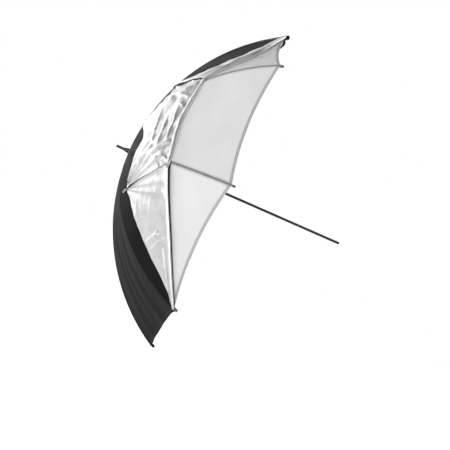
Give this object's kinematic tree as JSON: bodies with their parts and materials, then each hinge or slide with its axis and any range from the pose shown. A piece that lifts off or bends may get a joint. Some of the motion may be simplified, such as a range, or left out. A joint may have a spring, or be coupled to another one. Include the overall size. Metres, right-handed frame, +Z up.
{
  "type": "umbrella reflector",
  "caption": "Photographic umbrella with a thin shaft, folding steel ribs, a white translucent canopy and a removable black and silver cover, two corners folded back.",
  "frame": {"origin": "on the shaft's axis where a stand's clamp grips it, 112 mm from the tube's free end", "axes": "+X along the shaft towards its free end and out of the canopy's open side, +Z up through rib 1"},
  "size_m": [0.666, 0.9252, 0.9252],
  "materials": {
    "dark_steel": "satin",
    "black_plastic": "matte",
    "bright_steel": "gloss",
    "rib_steel": "satin",
    "white_cloth": "matte",
    "cover_cloth": "satin"
  },
  "bodies": {
    "shaft": {"shaft_tube": "dark_steel", "shaft_end_plugs": "black_plastic", "stop_ring": "bright_steel", "crown_hub": "black_plastic", "crown_wire": "bright_steel", "crown_pin": "bright_steel", "apex_washer": "black_plastic", "top_ferrule": "dark_steel"},
    "catch": {"catch_spring": "bright_steel"},
    "runner": {"runner_body": "black_plastic", "runner_sleeve": "dark_steel", "runner_wire": "bright_steel"},
    "rib_arm_1": {"rib_1": "rib_steel", "rib_tip_1": "bright_steel", "joint_rivet_1": "dark_steel"},
    "strut_1": {"stretcher_1": "rib_steel"},
    "gore_1": {"canopy_gore_1": "white_cloth", "cover_gore_1": "cover_cloth"},
    "rib_arm_2": {"rib_2": "rib_steel", "rib_tip_2": "bright_steel", "joint_rivet_2": "dark_steel"},
    "strut_2": {"stretcher_2": "rib_steel"},
    "gore_2": {"canopy_gore_2": "white_cloth", "cover_gore_2": "cover_cloth"},
    "rib_arm_3": {"rib_3": "rib_steel", "rib_tip_3": "bright_steel", "joint_rivet_3": "dark_steel"},
    "strut_3": {"stretcher_3": "rib_steel"},
    "gore_3": {"canopy_gore_3": "white_cloth", "cover_gore_3": "cover_cloth"},
    "rib_arm_4": {"rib_4": "rib_steel", "rib_tip_4": "bright_steel", "joint_rivet_4": "dark_steel"},
    "strut_4": {"stretcher_4": "rib_steel"},
    "gore_4": {"canopy_gore_4": "white_cloth", "cover_gore_4": "cover_cloth"},
    "rib_arm_5": {"rib_5": "rib_steel", "rib_tip_5": "bright_steel", "joint_rivet_5": "dark_steel"},
    "strut_5": {"stretcher_5": "rib_steel"},
    "gore_5": {"canopy_gore_5": "white_cloth", "cover_gore_5": "cover_cloth"},
    "rib_arm_6": {"rib_6": "rib_steel", "rib_tip_6": "bright_steel", "joint_rivet_6": "dark_steel"},
    "strut_6": {"stretcher_6": "rib_steel"},
    "gore_6": {"canopy_gore_6": "white_cloth", "cover_gore_6": "cover_cloth"},
    "rib_arm_7": {"rib_7": "rib_steel", "rib_tip_7": "bright_steel", "joint_rivet_7": "dark_steel"},
    "strut_7": {"stretcher_7": "rib_steel"},
    "gore_7": {"canopy_gore_7": "white_cloth", "cover_gore_7": "cover_cloth"},
    "rib_arm_8": {"rib_8": "rib_steel", "rib_tip_8": "bright_steel", "joint_rivet_8": "dark_steel"},
    "strut_8": {"stretcher_8": "rib_steel"},
    "gore_8": {"canopy_gore_8": "white_cloth", "cover_gore_8": "cover_cloth"}
  },
  "joints": [
    {"name": "fold", "type": "hinge", "parent": "shaft", "child": "rib_arm_1", "pos_m": [-0.50643, 0, 0.0085], "axis": [0, 1, 0], "range_deg": [0, 57]},
    {"name": "rib_fold_2", "type": "hinge", "parent": "shaft", "child": "rib_arm_2", "pos_m": [-0.50643, -0.00601, 0.00601], "axis": [0, 0.7071, 0.7071], "range_deg": [0, 57]},
    {"name": "rib_fold_3", "type": "hinge", "parent": "shaft", "child": "rib_arm_3", "pos_m": [-0.50643, -0.0085, 0], "axis": [0, 0, 1], "range_deg": [0, 57]},
    {"name": "rib_fold_4", "type": "hinge", "parent": "shaft", "child": "rib_arm_4", "pos_m": [-0.50643, -0.00601, -0.00601], "axis": [0, -0.7071, 0.7071], "range_deg": [0, 57]},
    {"name": "rib_fold_5", "type": "hinge", "parent": "shaft", "child": "rib_arm_5", "pos_m": [-0.50643, 0, -0.0085], "axis": [0, -1, 0], "range_deg": [0, 57]},
    {"name": "rib_fold_6", "type": "hinge", "parent": "shaft", "child": "rib_arm_6", "pos_m": [-0.50643, 0.00601, -0.00601], "axis": [0, -0.7071, -0.7071], "range_deg": [0, 57]},
    {"name": "rib_fold_7", "type": "hinge", "parent": "shaft", "child": "rib_arm_7", "pos_m": [-0.50643, 0.0085, 0], "axis": [0, 0, -1], "range_deg": [0, 57]},
    {"name": "rib_fold_8", "type": "hinge", "parent": "shaft", "child": "rib_arm_8", "pos_m": [-0.50643, 0.00601, 0.00601], "axis": [0, 0.7071, -0.7071], "range_deg": [0, 57]},
    {"name": "strut_turn_1", "type": "hinge", "parent": "rib_arm_1", "child": "strut_1", "pos_m": [-0.44868, 0, 0.24084], "axis": [0, 1, 0], "range_deg": [-115, 0]},
    {"name": "strut_turn_2", "type": "hinge", "parent": "rib_arm_2", "child": "strut_2", "pos_m": [-0.44868, -0.1703, 0.1703], "axis": [0, 0.7071, 0.7071], "range_deg": [-115, 0]},
    {"name": "strut_turn_3", "type": "hinge", "parent": "rib_arm_3", "child": "strut_3", "pos_m": [-0.44868, -0.24084, 0], "axis": [0, 0, 1], "range_deg": [-115, 0]},
    {"name": "strut_turn_4", "type": "hinge", "parent": "rib_arm_4", "child": "strut_4", "pos_m": [-0.44868, -0.1703, -0.1703], "axis": [0, -0.7071, 0.7071], "range_deg": [-115, 0]},
    {"name": "strut_turn_5", "type": "hinge", "parent": "rib_arm_5", "child": "strut_5", "pos_m": [-0.44868, 0, -0.24084], "axis": [0, -1, 0], "range_deg": [-115, 0]},
    {"name": "strut_turn_6", "type": "hinge", "parent": "rib_arm_6", "child": "strut_6", "pos_m": [-0.44868, 0.1703, -0.1703], "axis": [0, -0.7071, -0.7071], "range_deg": [-115, 0]},
    {"name": "strut_turn_7", "type": "hinge", "parent": "rib_arm_7", "child": "strut_7", "pos_m": [-0.44868, 0.24084, 0], "axis": [0, 0, -1], "range_deg": [-115, 0]},
    {"name": "strut_turn_8", "type": "hinge", "parent": "rib_arm_8", "child": "strut_8", "pos_m": [-0.44868, 0.1703, 0.1703], "axis": [0, 0.7071, -0.7071], "range_deg": [-115, 0]},
    {"name": "runner_turn", "type": "hinge", "parent": "strut_1", "child": "runner", "pos_m": [-0.39093, 0, 0.0085], "axis": [0, 1, 0], "range_deg": [0, 58]},
    {"name": "gore_fold_1", "type": "hinge", "parent": "shaft", "child": "gore_1", "pos_m": [-0.50643, -0.00325, 0.00785], "axis": [0, 0.9239, 0.3827], "range_deg": [0, 56], "deforming": ["canopy_gore_1", "cover_gore_1"]},
    {"name": "gore_fold_2", "type": "hinge", "parent": "shaft", "child": "gore_2", "pos_m": [-0.50643, -0.00785, 0.00325], "axis": [0, 0.3827, 0.9239], "range_deg": [0, 56], "deforming": ["canopy_gore_2", "cover_gore_2"]},
    {"name": "gore_fold_3", "type": "hinge", "parent": "shaft", "child": "gore_3", "pos_m": [-0.50643, -0.00785, -0.00325], "axis": [0, -0.3827, 0.9239], "range_deg": [0, 56], "deforming": ["canopy_gore_3", "cover_gore_3"]},
    {"name": "gore_fold_4", "type": "hinge", "parent": "shaft", "child": "gore_4", "pos_m": [-0.50643, -0.00325, -0.00785], "axis": [0, -0.9239, 0.3827], "range_deg": [0, 56], "deforming": ["canopy_gore_4", "cover_gore_4"]},
    {"name": "gore_fold_5", "type": "hinge", "parent": "shaft", "child": "gore_5", "pos_m": [-0.50643, 0.00325, -0.00785], "axis": [0, -0.9239, -0.3827], "range_deg": [0, 56], "deforming": ["canopy_gore_5", "cover_gore_5"]},
    {"name": "gore_fold_6", "type": "hinge", "parent": "shaft", "child": "gore_6", "pos_m": [-0.50643, 0.00785, -0.00325], "axis": [0, -0.3827, -0.9239], "range_deg": [0, 56], "deforming": ["canopy_gore_6", "cover_gore_6"]},
    {"name": "gore_fold_7", "type": "hinge", "parent": "shaft", "child": "gore_7", "pos_m": [-0.50643, 0.00785, 0.00325], "axis": [0, 0.3827, -0.9239], "range_deg": [0, 56], "deforming": ["canopy_gore_7", "cover_gore_7"]},
    {"name": "gore_fold_8", "type": "hinge", "parent": "shaft", "child": "gore_8", "pos_m": [-0.50643, 0.00325, 0.00785], "axis": [0, 0.9239, -0.3827], "range_deg": [0, 56], "deforming": ["canopy_gore_8", "cover_gore_8"]},
    {"name": "catch_press", "type": "hinge", "parent": "shaft", "child": "catch", "pos_m": [-0.37653, 0, 0.0012], "axis": [0, 1, 0], "range_deg": [0, 5], "stiffness_Nm_per_rad": 0.3, "deforming": ["catch_spring"]}
  ],
  "couplings": [
    {"joint": "rib_fold_2", "follows": "fold", "ratio": 1},
    {"joint": "rib_fold_3", "follows": "fold", "ratio": 1},
    {"joint": "rib_fold_4", "follows": "fold", "ratio": 1},
    {"joint": "rib_fold_5", "follows": "fold", "ratio": 1},
    {"joint": "rib_fold_6", "follows": "fold", "ratio": 1},
    {"joint": "rib_fold_7", "follows": "fold", "ratio": 1},
    {"joint": "rib_fold_8", "follows": "fold", "ratio": 1},
    {"joint": "strut_turn_1", "follows": "fold", "ratio": -2},
    {"joint": "strut_turn_2", "follows": "fold", "ratio": -2},
    {"joint": "strut_turn_3", "follows": "fold", "ratio": -2},
    {"joint": "strut_turn_4", "follows": "fold", "ratio": -2},
    {"joint": "strut_turn_5", "follows": "fold", "ratio": -2},
    {"joint": "strut_turn_6", "follows": "fold", "ratio": -2},
    {"joint": "strut_turn_7", "follows": "fold", "ratio": -2},
    {"joint": "strut_turn_8", "follows": "fold", "ratio": -2},
    {"joint": "runner_turn", "follows": "fold", "ratio": 1},
    {"joint": "gore_fold_1", "follows": "fold", "ratio": 0.97},
    {"joint": "gore_fold_2", "follows": "fold", "ratio": 0.97},
    {"joint": "gore_fold_3", "follows": "fold", "ratio": 0.97},
    {"joint": "gore_fold_4", "follows": "fold", "ratio": 0.97},
    {"joint": "gore_fold_5", "follows": "fold", "ratio": 0.97},
    {"joint": "gore_fold_6", "follows": "fold", "ratio": 0.97},
    {"joint": "gore_fold_7", "follows": "fold", "ratio": 0.97},
    {"joint": "gore_fold_8", "follows": "fold", "ratio": 0.97}
  ]
}
